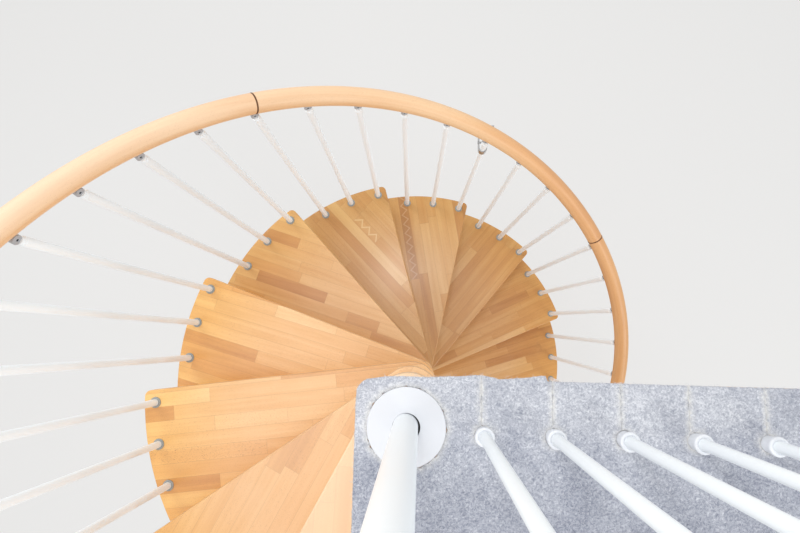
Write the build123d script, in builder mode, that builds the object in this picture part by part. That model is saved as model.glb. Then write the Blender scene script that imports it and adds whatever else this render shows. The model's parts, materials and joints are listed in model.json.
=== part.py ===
"""Spiral staircase with wedge-shaped timber treads stacked round a steel column.

The frame: +Z is up, and the origin is on the column's axis, at the underside of the round base
flange, which stands on the lower floor. The stair climbs counterclockwise seen from above, and the
landing fills the corner between +X and -Y, with its railing along +X. Lengths are in millimetres
and angles in degrees.
"""

from build123d import *
import math
import os

# How the stair climbs
tread_count = 14
rise = 208.6
turn = 27.28
first_angle = -115.28

# Treads
tread_thickness = 40
hub_radius = 75
baluster_circle = 766
rim_margin = 34
edge_margin = 37
tread_corner_radius = 18
tread_edge_round = 4

# Column and what is stacked on it
column_radius = 19
column_wall = 4
column_slip = 0.4
spacer_radius = 51
spacer_wall = 4
ring_radius = 62
ring_height = 7
base_radius = 140
base_thickness = 12
base_bolt_circle = 110
base_bolt_count = 4
base_bolt_radius = 6.5
base_socket_wall = 8
base_socket_height = 34
base_edge_chamfer = 2
ring_chamfer = 2.5

# Balusters and their small fittings
baluster_radius = 10
balusters_per_tread = 3
baluster_slip = 0.3
collar_radius = 16
collar_height = 4
collar_chamfer = 1.5
cap_height = 6
cap_taper = 4
foot_radius = 28
foot_height = 8
foot_chamfer = 2

# Handrail
rail_radius = 24
rail_outset = 8
rail_height = 932
rail_section_angle = 79.75
first_rail_joint = -40.71
rail_overhang = 70
rail_ring_width = 2
rail_ring_proud = 0.4
rail_ring_slip = 0.1
rail_cap_length = 9
rail_cap_taper = 6

# Swivel joints between the balusters and the handrail, a little way down the rail from the feet
joint_lag = 1.4
barrel_radius = 10
barrel_inner = 4
barrel_outer = 19
plug_radius = 8.5
plug_height = 6
plug_depth = 5
saddle_radius = 5
saddle_gap = 1.5
saddle_slip = 0.6

# Landing
carpet_thickness = 6
landing_thickness = 40
landing_front = 90
landing_well_edge = 84
landing_end_margin = 65
landing_far_margin = 37
landing_front_radius = 54
landing_corner_radius = 6
landing_baluster_line = -10
landing_baluster_first = 135
landing_baluster_pitch = 120
landing_baluster_count = 6
sleeve_radius = 14
sleeve_height = 26
sleeve_lip_radius = 16.5
sleeve_lip_height = 8
sleeve_lip_round = 2
sleeve_carpet_gap = 2
slit_width = 1.6
bearer_gap = 4
bearer_margin = 15
bearer_thickness = 8
disc_radius = 69
disc_thickness = 8
disc_hole_gap = 2.8
disc_carpet_gap = 1.5
disc_chamfer = 1
post_radius = 22
post_wall = 2.6
spigot_length = 160
landing_rail_overhang = 60

# Fixings to the building
wall_gap = 12
bracket_tread = 8
strap_thickness = 3
strap_height = 22
strap_slip = 0.4
strap_drop = 3
ear_width = 22
ear_hole_radius = 2.75
clamp_bolt_radius = 3
clamp_bolt_offset = 22
clamp_bolt_head = 5
angle_leg = 60
angle_thickness = 6
angle_length = 160
angle_first = 150
angle_pitch = 450
angle_count = 2
angle_hole_spacing = 100
angle_hole_radius = 5.5

# Degrees in a full turn
FULL_TURN = 360

# Sizes that follow from those above
tread_radius = baluster_circle + rim_margin
baluster_step = turn / balusters_per_tread
wedge_half_angle = turn / 2 - math.degrees(math.asin((hub_radius - edge_margin) / baluster_circle))
landing_top = (tread_count + 1) * rise
panel_top = landing_top - carpet_thickness
panel_bottom = panel_top - landing_thickness
rail_circle = baluster_circle + rail_outset
climb_per_degree = rise / turn
rail_pitch = FULL_TURN * climb_per_degree
rail_slope = rise / (math.radians(turn) * rail_circle)
rail_normal = 1 / math.sqrt(1 + rail_slope ** 2)
saddle_length = rail_radius + saddle_gap + barrel_radius
saddle_swing = saddle_length * rail_slope * rail_normal
barrel_height = rail_height - saddle_swing * rail_slope - saddle_length * rail_normal
joint_drop = barrel_radius + plug_height
landing_barrel_height = rail_height - saddle_length
wall_plane = tread_radius + wall_gap
landing_rail_line = landing_baluster_line + rail_outset
last_landing_baluster = landing_baluster_first + landing_baluster_pitch * (landing_baluster_count - 1)
landing_rail_end = last_landing_baluster + landing_rail_overhang
landing_length = last_landing_baluster + landing_end_margin
bearer_size = landing_front - bearer_margin + landing_baluster_first - collar_radius - bearer_gap
last_angle = first_angle + tread_count * turn
landing_depth = landing_far_margin - baluster_circle * math.sin(math.radians(last_angle))
landing_bar_top = landing_top + landing_barrel_height - joint_drop
bottom_align = (Align.CENTER, Align.CENTER, Align.MIN)
top_align = (Align.CENTER, Align.CENTER, Align.MAX)


def front_angle(number):
    """Direction of a tread's front baluster; the landing counts as one more tread."""
    return first_angle + (number - 1) * turn


def on_circle(radius, angle, height):
    """Point at a radius and a direction from the column's axis."""
    return Vector(radius * math.cos(math.radians(angle)), radius * math.sin(math.radians(angle)), height)


def radial_plane(angle, height):
    """Plane on the baluster circle, with X pointing outward and Z up."""
    outward = on_circle(1, angle, 0)
    return Plane(origin=on_circle(baluster_circle, angle, height), x_dir=outward, z_dir=(0, 0, 1))


def rail_level(angle):
    """Height of the handrail's centre line in one direction."""
    return rise + rail_height + (angle - first_angle) * climb_per_degree


def rail_plane(angle):
    """Plane across the handrail, with Z along the rail as it climbs."""
    outward = on_circle(1, angle, 0)
    tangent = on_circle(rail_normal, angle + 90, rail_slope * rail_normal)
    return Plane(origin=on_circle(rail_circle, angle, rail_level(angle)), x_dir=outward, z_dir=tangent)


def long_baluster_places():
    """Direction, lower end and tread height of each baluster that ties a tread to the one below."""
    places = []
    for number in range(1, tread_count + 2):
        foot = foot_height if number == 1 else (number - 1) * rise - tread_thickness
        places.append((front_angle(number), foot, number * rise))
    return places


def short_baluster_places():
    """Direction, lower end and tread height of each baluster that stands on one tread only."""
    places = []
    for number in range(1, tread_count + 1):
        for step in range(1, balusters_per_tread):
            angle = front_angle(number) + step * baluster_step
            places.append((angle, number * rise - tread_thickness, number * rise))
    return places


def joint_centre(angle):
    """Middle of the swivel joint of a baluster whose foot stands in one direction."""
    joint_angle = angle - joint_lag
    return on_circle(baluster_circle, joint_angle, rail_level(joint_angle) - rail_height + barrel_height)


def baluster_line(angle, tread_top):
    """Point where a baluster leaves its collar, and the way from there to its upper end."""
    knee = on_circle(baluster_circle, angle, tread_top + collar_height)
    return knee, joint_centre(angle) - Vector(0, 0, joint_drop) - knee


def make_baluster(angle, foot, tread_top):
    """Bar that is upright in the timber and leans from its collar to its joint."""
    knee, reach = baluster_line(angle, tread_top)
    with BuildPart() as bar:
        with Locations(on_circle(baluster_circle, angle, foot)):
            Cylinder(baluster_radius, knee.Z - foot, align=bottom_align)
        with BuildSketch(Plane(origin=knee)):
            Circle(baluster_radius)
        extrude(amount=reach.length, dir=reach.normalized())
    return bar.part


def landing_baluster_places():
    """Plan positions of the balusters along the landing's railing."""
    places = []
    for number in range(landing_baluster_count):
        places.append((landing_baluster_first + number * landing_baluster_pitch, landing_baluster_line))
    return places


def make_swivel(slope):
    """Joint under a rail of one slope: X points outward, and the origin is on the baluster's axis."""
    with BuildPart() as joint:
        with Locations((0, 0, -joint_drop)):
            Cylinder(plug_radius, joint_drop - plug_depth, align=bottom_align)
        with Locations(Location(((barrel_outer - barrel_inner) / 2, 0, 0), (0, 90, 0))):
            Cylinder(barrel_radius, barrel_inner + barrel_outer)
        saddle_plane = Plane(origin=(rail_outset, 0, 0), x_dir=(1, 0, 0), z_dir=(0, -slope, 1))
        with Locations(saddle_plane.location):
            Cylinder(saddle_radius, barrel_radius + saddle_gap - saddle_slip, align=bottom_align)
    return joint.part


def make_helical_bar(angle_length):
    """Stretch of the handrail over some degrees of turn, starting over the X axis at height 0."""
    with BuildPart() as bar:
        with BuildLine() as centre_line:
            Helix(pitch=rail_pitch, height=angle_length * climb_per_degree, radius=rail_circle)
        with BuildSketch(Plane(origin=centre_line.line @ 0, x_dir=(1, 0, 0), z_dir=centre_line.line % 0)):
            Circle(rail_radius)
        sweep(path=centre_line.line, is_frenet=True)
    return bar.part


def write(part, name):
    """Labels a finished piece and writes its file."""
    part.label = name
    export_step(part, f"parts/{name}.step")


os.makedirs("parts", exist_ok=True)

# Base flange: a round plate bolted to the floor, with a socket for the column
with BuildPart() as base_flange:
    Cylinder(base_radius, base_thickness, align=bottom_align)
    chamfer(base_flange.edges().group_by(Axis.Z)[-1], base_edge_chamfer)
    with Locations((0, 0, base_thickness)):
        Cylinder(column_radius + column_slip + base_socket_wall, base_socket_height, align=bottom_align)
        Cylinder(column_radius + column_slip, base_socket_height, align=bottom_align, mode=Mode.SUBTRACT)
    with Locations((0, 0, base_thickness)):
        with PolarLocations(base_bolt_circle, base_bolt_count, start_angle=45):
            Hole(base_bolt_radius, depth=base_thickness)
write(base_flange.part, "base_flange")

# Column: one tube from the base flange to the spigot inside the landing post
with BuildPart() as column:
    with Locations((0, 0, base_thickness)):
        column_length = landing_top + spigot_length - base_thickness
        Cylinder(column_radius, column_length, align=bottom_align)
        Cylinder(column_radius - column_wall, column_length, align=bottom_align, mode=Mode.SUBTRACT)
write(column.part, "column")

# Levels between which a spacer fills the column: below the treads, between them and below the landing
stack_levels = [(base_thickness, rise - tread_thickness)]
for number in range(1, tread_count):
    stack_levels.append((number * rise, (number + 1) * rise - tread_thickness))
stack_levels.append((tread_count * rise, panel_bottom - bearer_thickness))

with BuildPart() as column_spacers:
    for low, high in stack_levels:
        with Locations((0, 0, low + ring_height)):
            Cylinder(spacer_radius, high - low - 2 * ring_height, align=bottom_align)
            Cylinder(spacer_radius - spacer_wall, high - low, align=bottom_align, mode=Mode.SUBTRACT)
write(column_spacers.part, "column_spacers")

with BuildPart() as ring:
    Cylinder(ring_radius, ring_height, align=bottom_align)
    chamfer(ring.edges().group_by(Axis.Z)[-1], ring_chamfer)
    Cylinder(column_radius + column_slip, ring_height, align=bottom_align, mode=Mode.SUBTRACT)

with BuildPart() as spacer_rings:
    for low, high in stack_levels:
        if low > base_thickness:
            with Locations((0, 0, low)):
                add(ring.part)
        with Locations(Location((0, 0, high), (180, 0, 0))):
            add(ring.part)
    with Locations((0, 0, base_thickness)):
        Cylinder(ring_radius, ring_height, align=bottom_align)
        socket_radius = column_radius + column_slip + base_socket_wall + column_slip
        Cylinder(socket_radius, ring_height, align=bottom_align, mode=Mode.SUBTRACT)
write(spacer_rings.part, "spacer_rings")

# Treads: wedges whose straight edges touch the hub circle, each one solid of its own
for number in range(1, tread_count + 1):
    middle = front_angle(number) + turn / 2
    tread_plane = Plane(origin=(0, 0, number * rise), x_dir=on_circle(1, middle, 0), z_dir=(0, 0, 1))
    lean = math.radians(wedge_half_angle)
    reach = math.sqrt(tread_radius ** 2 - hub_radius ** 2)
    hub_point = (-hub_radius * math.sin(lean), hub_radius * math.cos(lean))
    rim_point = (hub_point[0] + reach * math.cos(lean), hub_point[1] + reach * math.sin(lean))
    with BuildPart() as tread:
        with BuildSketch(tread_plane) as outline:
            with BuildLine():
                Line(hub_point, rim_point)
                ThreePointArc(rim_point, (tread_radius, 0), (rim_point[0], -rim_point[1]))
                Line((rim_point[0], -rim_point[1]), (hub_point[0], -hub_point[1]))
                ThreePointArc((hub_point[0], -hub_point[1]), (-hub_radius, 0), hub_point)
            make_face()
            fillet(outline.vertices().sort_by(Axis.X)[-2:], tread_corner_radius)
        extrude(amount=-tread_thickness)
        flat_faces = tread.faces().filter_by(Axis.Z)
        chamfer(flat_faces.edges(), tread_edge_round)
        with Locations((0, 0, number * rise)):
            Hole(column_radius + column_slip, depth=tread_thickness)
        for step in range(balusters_per_tread + 1):
            angle = front_angle(number) + step * baluster_step
            with Locations(on_circle(baluster_circle, angle, number * rise)):
                Hole(baluster_radius + baluster_slip, depth=tread_thickness)
    write(tread.part, f"tread_{number:02d}")

# Long balusters: each ties the front of a tread to the back of the one below, the first is on the floor
with BuildPart() as long_balusters:
    for angle, foot, tread_top in long_baluster_places():
        add(make_baluster(angle, foot, tread_top))
write(long_balusters.part, "long_balusters")

with BuildPart() as short_balusters:
    for angle, foot, tread_top in short_baluster_places():
        add(make_baluster(angle, foot, tread_top))
write(short_balusters.part, "short_balusters")

# Foot under the first baluster
with BuildPart() as baluster_foot:
    with Locations(on_circle(baluster_circle, front_angle(1), 0)):
        Cylinder(foot_radius, foot_height, align=bottom_align)
    chamfer(baluster_foot.edges().group_by(Axis.Z)[-1], foot_chamfer)
write(baluster_foot.part, "baluster_foot")

# Collars on the treads, at every place where a baluster enters the timber from above
with BuildPart() as collar:
    Cylinder(collar_radius, collar_height, align=bottom_align)
    chamfer(collar.edges().group_by(Axis.Z)[-1], collar_chamfer)
    Cylinder(baluster_radius + baluster_slip, collar_height, align=bottom_align, mode=Mode.SUBTRACT)

collar_places = []
for number in range(1, tread_count + 1):
    for step in range(balusters_per_tread + 1):
        angle = front_angle(number) + step * baluster_step
        collar_places.append(on_circle(baluster_circle, angle, number * rise))
collar_places.append(on_circle(baluster_circle, front_angle(tread_count + 1), landing_top))
with BuildPart() as tread_collars:
    with Locations(*collar_places):
        add(collar.part)
write(tread_collars.part, "tread_collars")

# Caps under the treads, on the end of each baluster
cap_places = []
for angle, foot, tread_top in long_baluster_places()[1:] + short_baluster_places():
    cap_places.append(on_circle(baluster_circle, angle, foot))
with BuildPart() as tread_caps:
    with Locations(*cap_places):
        Cone(collar_radius - cap_taper, collar_radius, cap_height, align=top_align)
write(tread_caps.part, "tread_caps")

# Swivel joints: a plug on the baluster, a barrel that points at the column and a saddle under the rail
swivel = make_swivel(rail_slope)

swivel_places = []
for angle, foot, tread_top in long_baluster_places() + short_baluster_places():
    swivel_places.append(radial_plane(angle - joint_lag, joint_centre(angle).Z).location)
with BuildPart() as rail_joints:
    with Locations(*swivel_places):
        add(swivel)
write(rail_joints.part, "rail_joints")

# Handrail: helical sections that meet at thin rings
rail_start = front_angle(1) - math.degrees(rail_overhang * rail_normal / rail_circle)
rail_end = front_angle(tread_count + 1) + math.degrees(rail_overhang * rail_normal / rail_circle)
ring_angles = []
joint_angle = first_rail_joint
while joint_angle < rail_end:
    ring_angles.append(joint_angle)
    joint_angle += rail_section_angle
ring_half_angle = math.degrees((rail_ring_width / 2 + rail_ring_slip) * rail_normal / rail_circle)
section_ends = [rail_start]
for angle in ring_angles:
    section_ends += [angle - ring_half_angle, angle + ring_half_angle]
section_ends.append(rail_end)

for index in range(len(ring_angles) + 1):
    start, end = section_ends[2 * index], section_ends[2 * index + 1]
    with BuildPart() as rail_section:
        with Locations(Location((0, 0, rail_level(start)), (0, 0, start))):
            add(make_helical_bar(end - start))
    write(rail_section.part, f"handrail_section_{index + 1}")

with BuildPart() as rail_rings:
    for angle in ring_angles:
        with Locations(rail_plane(angle).location):
            Cylinder(rail_radius + rail_ring_proud, rail_ring_width)
write(rail_rings.part, "rail_rings")

# End caps of the helical rail and of the landing rail
landing_rail_start = -post_radius - rail_radius
landing_rail_level = landing_top + rail_height
with BuildPart() as rail_end_caps:
    with Locations(Location(rail_plane(rail_start).location) * Location((0, 0, 0), (180, 0, 0))):
        Cone(rail_radius, rail_radius - rail_cap_taper, rail_cap_length, align=bottom_align)
    with Locations(rail_plane(rail_end).location):
        Cone(rail_radius, rail_radius - rail_cap_taper, rail_cap_length, align=bottom_align)
    with Locations(Location((landing_rail_start, landing_rail_line, landing_rail_level), (0, -90, 0))):
        Cone(rail_radius, rail_radius - rail_cap_taper, rail_cap_length, align=bottom_align)
    with Locations(Location((landing_rail_end, landing_rail_line, landing_rail_level), (0, 90, 0))):
        Cone(rail_radius, rail_radius - rail_cap_taper, rail_cap_length, align=bottom_align)
write(rail_end_caps.part, "rail_end_caps")

# Wall bracket: a strap bent round the top of one baluster, with its ears on the wall
bracket_angle = front_angle(bracket_tread)
bracket_knee, bracket_reach = baluster_line(bracket_angle, bracket_tread * rise)
bracket_share = 1 - (strap_drop - 1 / 2) * strap_height / bracket_reach.Z
bracket_centre = bracket_knee + bracket_reach * bracket_share - Vector(0, 0, strap_height / 2)
strap_reach = wall_plane - bracket_centre.Y
strap_inner = baluster_radius + strap_slip
strap_outer = strap_inner + strap_thickness
with BuildPart() as wall_bracket:
    with BuildSketch(Plane(origin=bracket_centre)):
        Circle(strap_outer)
        with Locations((0, strap_reach / 2)):
            Rectangle(2 * strap_outer, strap_reach)
        with Locations((0, strap_reach - strap_thickness / 2)):
            Rectangle(2 * (strap_outer + ear_width), strap_thickness)
        Circle(strap_inner, mode=Mode.SUBTRACT)
        with Locations((0, strap_reach / 2)):
            Rectangle(2 * strap_inner, strap_reach, mode=Mode.SUBTRACT)
    extrude(amount=strap_height)
    ear_centre = bracket_centre + Vector(0, strap_reach, strap_height / 2)
    ear_plane = Plane(origin=ear_centre, x_dir=(1, 0, 0), z_dir=(0, 1, 0))
    ear_offset = strap_outer + ear_width / 2
    with Locations(ear_plane.location):
        with Locations((-ear_offset, 0), (ear_offset, 0)):
            Hole(ear_hole_radius, depth=strap_thickness)
    with Locations(Location(bracket_centre + Vector(0, clamp_bolt_offset, strap_height / 2), (0, 90, 0))):
        Cylinder(clamp_bolt_radius, 2 * strap_outer)
        with Locations((0, 0, strap_outer), (0, 0, -strap_outer)):
            Cylinder(clamp_bolt_head, clamp_bolt_radius)
write(wall_bracket.part, "wall_bracket")

# Landing: a panel with a rounded corner at the column, on a steel bearer plate
with BuildPart() as landing_panel:
    with BuildSketch(Plane.XY.offset(panel_bottom)) as landing_outline:
        with Locations(((landing_length - landing_front) / 2, (landing_well_edge - landing_depth) / 2)):
            Rectangle(landing_length + landing_front, landing_well_edge + landing_depth)
        near_column = landing_outline.vertices().sort_by_distance((-landing_front, landing_well_edge))
        fillet(near_column[0], landing_front_radius)
        fillet(near_column[1:], landing_corner_radius)
    extrude(amount=landing_thickness)
    with Locations((0, 0, panel_top)):
        Hole(column_radius + column_slip, depth=landing_thickness)
    with Locations(on_circle(baluster_circle, front_angle(tread_count + 1), panel_top)):
        Hole(baluster_radius + baluster_slip, depth=landing_thickness)
    with Locations(*[(x, y, panel_top) for x, y in landing_baluster_places()]):
        Hole(baluster_radius + baluster_slip, depth=landing_thickness)
write(landing_panel.part, "landing_panel")

with BuildPart() as landing_bearer:
    bearer_x = bearer_size / 2 + bearer_margin - landing_front
    bearer_y = landing_well_edge - bearer_margin - bearer_size / 2
    with BuildSketch(Plane.XY.offset(panel_bottom)):
        with Locations((bearer_x, bearer_y)):
            RectangleRounded(bearer_size, bearer_size, landing_front_radius - bearer_margin)
        Circle(column_radius + column_slip, mode=Mode.SUBTRACT)
    extrude(amount=-bearer_thickness)
write(landing_bearer.part, "landing_bearer")

# Carpet: one piece of felt on the panel, cut round the disc and slit from the well to each baluster
with BuildPart() as landing_carpet:
    with BuildSketch(Plane.XY.offset(panel_top)) as carpet_outline:
        with Locations(((landing_length - landing_front) / 2, (landing_well_edge - landing_depth) / 2)):
            Rectangle(landing_length + landing_front, landing_well_edge + landing_depth)
        near_column = carpet_outline.vertices().sort_by_distance((-landing_front, landing_well_edge))
        fillet(near_column[0], landing_front_radius)
        fillet(near_column[1:], landing_corner_radius)
        Circle(disc_radius + disc_carpet_gap, mode=Mode.SUBTRACT)
        with Locations(*landing_baluster_places()):
            Circle(sleeve_radius + sleeve_carpet_gap, mode=Mode.SUBTRACT)
        slit_length = landing_well_edge - landing_baluster_line
        with Locations(*[(x, y + slit_length / 2) for x, y in landing_baluster_places()]):
            Rectangle(slit_width, slit_length, mode=Mode.SUBTRACT)
        with Locations(on_circle(baluster_circle, front_angle(tread_count + 1), 0)):
            Circle(baluster_radius + baluster_slip, mode=Mode.SUBTRACT)
    extrude(amount=carpet_thickness)
write(landing_carpet.part, "landing_carpet")

# Disc and post on the landing, over the column
with BuildPart() as landing_disc:
    with Locations((0, 0, panel_top)):
        Cylinder(disc_radius, disc_thickness, align=bottom_align)
        Cylinder(post_radius + disc_hole_gap, disc_thickness, align=bottom_align, mode=Mode.SUBTRACT)
    chamfer(landing_disc.edges().group_by(Axis.Z)[-1].sort_by(SortBy.RADIUS)[-1], disc_chamfer)
write(landing_disc.part, "landing_disc")

with BuildPart() as landing_post:
    post_length = landing_bar_top - panel_top
    with Locations((0, 0, panel_top)):
        Cylinder(post_radius, post_length, align=bottom_align)
        Cylinder(post_radius - post_wall, post_length - post_wall, align=bottom_align, mode=Mode.SUBTRACT)
write(landing_post.part, "landing_post")

with BuildPart() as landing_balusters:
    for x, y in landing_baluster_places():
        with Locations((x, y, panel_bottom)):
            Cylinder(baluster_radius, landing_bar_top - panel_bottom, align=bottom_align)
write(landing_balusters.part, "landing_balusters")

# Collars of the landing's balusters: sleeves with a lip, which stand on the panel through the carpet
with BuildPart() as sleeve:
    sleeve_length = carpet_thickness + sleeve_height
    Cylinder(sleeve_radius, sleeve_length, align=bottom_align)
    with Locations((0, 0, sleeve_length)):
        Cylinder(sleeve_lip_radius, sleeve_lip_height, align=top_align)
    round_edges = sleeve.edges().filter_by(GeomType.CIRCLE).sort_by(SortBy.RADIUS)
    fillet(round_edges[-2:], sleeve_lip_round)
    Cylinder(baluster_radius + baluster_slip, sleeve_length, align=bottom_align, mode=Mode.SUBTRACT)

with BuildPart() as landing_collars:
    with Locations(*[(x, y, panel_top) for x, y in landing_baluster_places()]):
        add(sleeve.part)
write(landing_collars.part, "landing_collars")

with BuildPart() as landing_caps:
    with Locations(*[(x, y, panel_bottom) for x, y in landing_baluster_places()]):
        Cone(collar_radius - cap_taper, collar_radius, cap_height, align=top_align)
write(landing_caps.part, "landing_caps")

# Joints of the landing railing: the same barrels under a level rail, the post's one turned about
joint_level = landing_top + landing_barrel_height
level_swivel = make_swivel(0)
with BuildPart() as landing_joints:
    for x, y in landing_baluster_places():
        with Locations(Plane(origin=(x, y, joint_level), x_dir=(0, 1, 0), z_dir=(0, 0, 1)).location):
            add(level_swivel)
    post_joint = (0, landing_rail_line + rail_outset, joint_level)
    with Locations(Plane(origin=post_joint, x_dir=(0, -1, 0), z_dir=(0, 0, 1)).location):
        add(level_swivel)
write(landing_joints.part, "landing_joints")

with BuildPart() as landing_rail:
    rail_start_point = (landing_rail_start, landing_rail_line, landing_rail_level)
    with BuildSketch(Plane(origin=rail_start_point, z_dir=(1, 0, 0))):
        Circle(rail_radius)
    extrude(amount=landing_rail_end - landing_rail_start)
write(landing_rail.part, "landing_rail")

# Steel angles that fix the landing's far edge to the upper floor
with BuildPart() as landing_angles:
    for index in range(angle_count):
        x = angle_first + index * angle_pitch
        with BuildSketch(Plane(origin=(x, -landing_depth, panel_bottom), x_dir=(0, 1, 0), z_dir=(1, 0, 0))):
            with BuildLine():
                Polyline((0, 0), (angle_leg, 0), (angle_leg, -angle_thickness),
                         (angle_thickness, -angle_thickness), (angle_thickness, -angle_leg),
                         (0, -angle_leg), close=True)
            make_face()
        extrude(amount=angle_length / 2, both=True)
        hole_centre = (x, -landing_depth, panel_bottom - angle_leg / 2)
        hole_plane = Plane(origin=hole_centre, x_dir=(1, 0, 0), z_dir=(0, -1, 0))
        with Locations(hole_plane.location):
            with Locations((-angle_hole_spacing / 2, 0), (angle_hole_spacing / 2, 0)):
                Hole(angle_hole_radius, depth=angle_thickness)
write(landing_angles.part, "landing_angles")
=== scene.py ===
"""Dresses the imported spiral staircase: timber, powder coat, felt, camera and light.

Lengths are in metres and angles in radians, in the same frame as the solids: +Z is up, the origin is
on the column's axis at the foot of the stair, and the landing lies between +X and -Y.
"""
import json
import random
from math import asin, atan2, ceil, copysign, cos, degrees, exp, pi, radians, sin, sqrt, tan, tau

import bmesh
import bpy
from mathutils import Matrix, Vector, geometry, noise


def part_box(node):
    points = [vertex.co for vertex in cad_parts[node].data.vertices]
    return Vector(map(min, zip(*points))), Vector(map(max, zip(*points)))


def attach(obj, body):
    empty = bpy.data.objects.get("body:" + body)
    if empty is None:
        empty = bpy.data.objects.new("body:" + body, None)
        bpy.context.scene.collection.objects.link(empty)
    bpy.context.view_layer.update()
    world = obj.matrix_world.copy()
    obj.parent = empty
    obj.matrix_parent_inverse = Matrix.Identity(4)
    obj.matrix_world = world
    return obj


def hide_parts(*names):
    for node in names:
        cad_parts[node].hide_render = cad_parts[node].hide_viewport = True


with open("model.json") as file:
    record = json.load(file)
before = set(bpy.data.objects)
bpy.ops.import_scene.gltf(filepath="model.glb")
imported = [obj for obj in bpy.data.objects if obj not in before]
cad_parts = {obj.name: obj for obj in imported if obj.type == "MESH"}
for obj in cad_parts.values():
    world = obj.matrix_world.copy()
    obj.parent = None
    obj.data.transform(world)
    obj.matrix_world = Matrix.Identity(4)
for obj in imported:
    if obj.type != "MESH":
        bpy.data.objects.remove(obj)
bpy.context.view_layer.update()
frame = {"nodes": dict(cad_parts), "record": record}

MM = 0.001

# Sizes of the stair, from the solids' boxes where these give them
TREADS = 14
TURN = radians(27.28)
FIRST = radians(-115.28)
tread_tops = [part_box(f"tread_{number:02d}")[1].z for number in range(1, TREADS + 1)]
RISE = tread_tops[1] - tread_tops[0]
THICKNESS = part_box("tread_01")[1].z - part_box("tread_01")[0].z
CIRCLE = 766 * MM
TREAD_RADIUS = 800 * MM
HUB = 75 * MM
EDGE_MARGIN = 37 * MM
CORNER = 18 * MM
EDGE_ROUND = 4 * MM
BALUSTER = 10 * MM
RAIL_RADIUS = 24 * MM
RAIL_CIRCLE = 774 * MM
RAIL_HEIGHT = 932 * MM
RAIL_OUTSET = 8 * MM
SPACER = 51 * MM
RING_HEIGHT = 7 * MM
BASE_THICKNESS = 12 * MM
BOLT_CIRCLE = 110 * MM
FOOT_PLATE = 8 * MM
panel_low, panel_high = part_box("landing_panel")
carpet_low, carpet_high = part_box("landing_carpet")
LANDING_TOP = carpet_high.z
PANEL_TOP = panel_high.z
LANDING_LINE = -10 * MM
LANDING_FIRST = 135 * MM
LANDING_PITCH = 120 * MM
LANDING_COUNT = 6
PANEL_SETBACK = 4.5 * MM
PANEL_CORNER = 6 * MM
FRONT_CORNER = 54 * MM
DISC = 69 * MM

# Slope of the handrail and the places of its swivel joints
SLOPE = RISE / (TURN * RAIL_CIRCLE)
NORMAL = 1 / sqrt(1 + SLOPE ** 2)
SADDLE = RAIL_RADIUS + 1.5 * MM + BALUSTER
JOINT_LAG = radians(1.4)
COLLAR = 4 * MM
BARREL_HEIGHT = RAIL_HEIGHT - SADDLE * SLOPE * NORMAL * SLOPE - SADDLE * NORMAL
JOINT_DROP = BALUSTER + 6 * MM
LANDING_BARREL = LANDING_TOP + RAIL_HEIGHT - SADDLE

# Camera, fitted to the balusters' feet and tops, the handrail and the landing in the photograph
CAMERA_PLACE = (0.0240, 0.1641, 4.0566)
CAMERA_TILT = (7.1771, 2.2958, 1.3584)
CAMERA_LENS = 23.2955


# Mesh helpers

def srgb(red, green, blue):
    """Linear colour of an 8-bit display colour."""
    values = [value / 255 for value in (red, green, blue)]
    return (*(v / 12.92 if v <= 0.04045 else ((v + 0.055) / 1.055) ** 2.4 for v in values), 1.0)


def polar(radius, angle, height=0.0):
    return Vector((radius * cos(angle), radius * sin(angle), height))


def compass(count):
    """Directions all round, one for each of so many steps."""
    return [tau * i / count for i in range(count)]


def moved(x, y, z=0.0, angle=0.0):
    """Matrix of a turn about Z and then a move."""
    return Matrix.Translation((x, y, z)) @ Matrix.Rotation(angle, 4, "Z")


def rounded(corners, closed=False, steps=4):
    """Points of a polyline of (x, y, radius) with its corners rounded."""
    points = []
    count = len(corners)
    for index, (x, y, radius) in enumerate(corners):
        if radius == 0 or (not closed and index in (0, count - 1)):
            points.append((x, y))
            continue
        here = Vector((x, y))
        before, after = ((Vector(corners[i % count][:2]) - here).normalized()
                         for i in (index - 1, index + 1))
        half = before.angle(after) / 2
        centre = here + (before + after).normalized() * radius / sin(half)
        start, end = (here + side * radius / tan(half) - centre for side in (before, after))
        first = atan2(start.y, start.x)
        sweep = (atan2(end.y, end.x) - first + pi) % tau - pi
        for step in range(steps + 1):
            angle = first + sweep * step / steps
            points.append((centre.x + radius * cos(angle), centre.y + radius * sin(angle)))
    return points


class Shape:
    """Vertices, faces and a material number for each face."""

    def __init__(self):
        self.verts, self.faces, self.slots = [], [], []

    def add(self, other, matrix=None):
        base = len(self.verts)
        self.verts += [matrix @ v for v in other.verts] if matrix else [v.copy() for v in other.verts]
        self.faces += [[base + i for i in face] for face in other.faces]
        self.slots += other.slots
        return self

    def object(self, name, materials, crease=35.0):
        mesh = bpy.data.meshes.new(name)
        mesh.from_pydata([tuple(v) for v in self.verts], [], self.faces)
        for material in materials:
            mesh.materials.append(material)
        mesh.polygons.foreach_set("material_index", self.slots or [0] * len(self.faces))
        mesh.shade_smooth()
        if crease:
            mesh.set_sharp_from_angle(angle=radians(crease))
        mesh.update()
        return link(name, mesh)


def link(name, data):
    """Object of some data, in the scene."""
    thing = bpy.data.objects.new(name, data)
    bpy.context.scene.collection.objects.link(thing)
    return thing


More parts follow.
